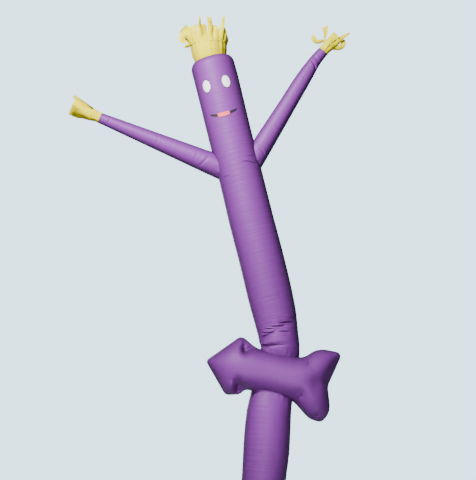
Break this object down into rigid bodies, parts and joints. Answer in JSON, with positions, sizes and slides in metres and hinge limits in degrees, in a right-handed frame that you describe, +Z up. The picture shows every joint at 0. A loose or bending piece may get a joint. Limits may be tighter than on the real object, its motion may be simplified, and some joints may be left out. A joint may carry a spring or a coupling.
{
  "type": "inflatable air dancer",
  "caption": "Tall leaning nylon tube figure blown up from below, with raised tapering arms, ribbon hair and hands, a sewn-on face and a puffed arrow across its waist.",
  "frame": {"origin": "on the floor under the middle of the figure's bounding box", "axes": "+X to the viewer's right as the face looks at the viewer, +Y away from the viewer, +Z up"},
  "size_m": [2.906, 0.5824, 6.0875],
  "materials": {
    "purple_nylon": "ripstop nylon with a soft sheen",
    "yellow_nylon": "thin nylon ribbon with a soft sheen",
    "white_nylon": "smooth applique cloth",
    "black_nylon": "smooth applique cloth",
    "pink_nylon": "smooth applique cloth"
  },
  "bodies": {
    "root": {"leg_tube": "purple_nylon", "arrow": "purple_nylon", "torso_tube": "purple_nylon", "head_tube": "purple_nylon", "arm_left": "purple_nylon", "arm_right": "purple_nylon", "cuff_left": "yellow_nylon", "cuff_right": "yellow_nylon", "fingers_left": "yellow_nylon", "fingers_right": "yellow_nylon", "hair_collar": "yellow_nylon", "hair_fringe": "yellow_nylon", "eye_left": "white_nylon", "eye_right": "white_nylon", "mouth": "black_nylon", "lip": "pink_nylon"}
  },
  "joints": []
}
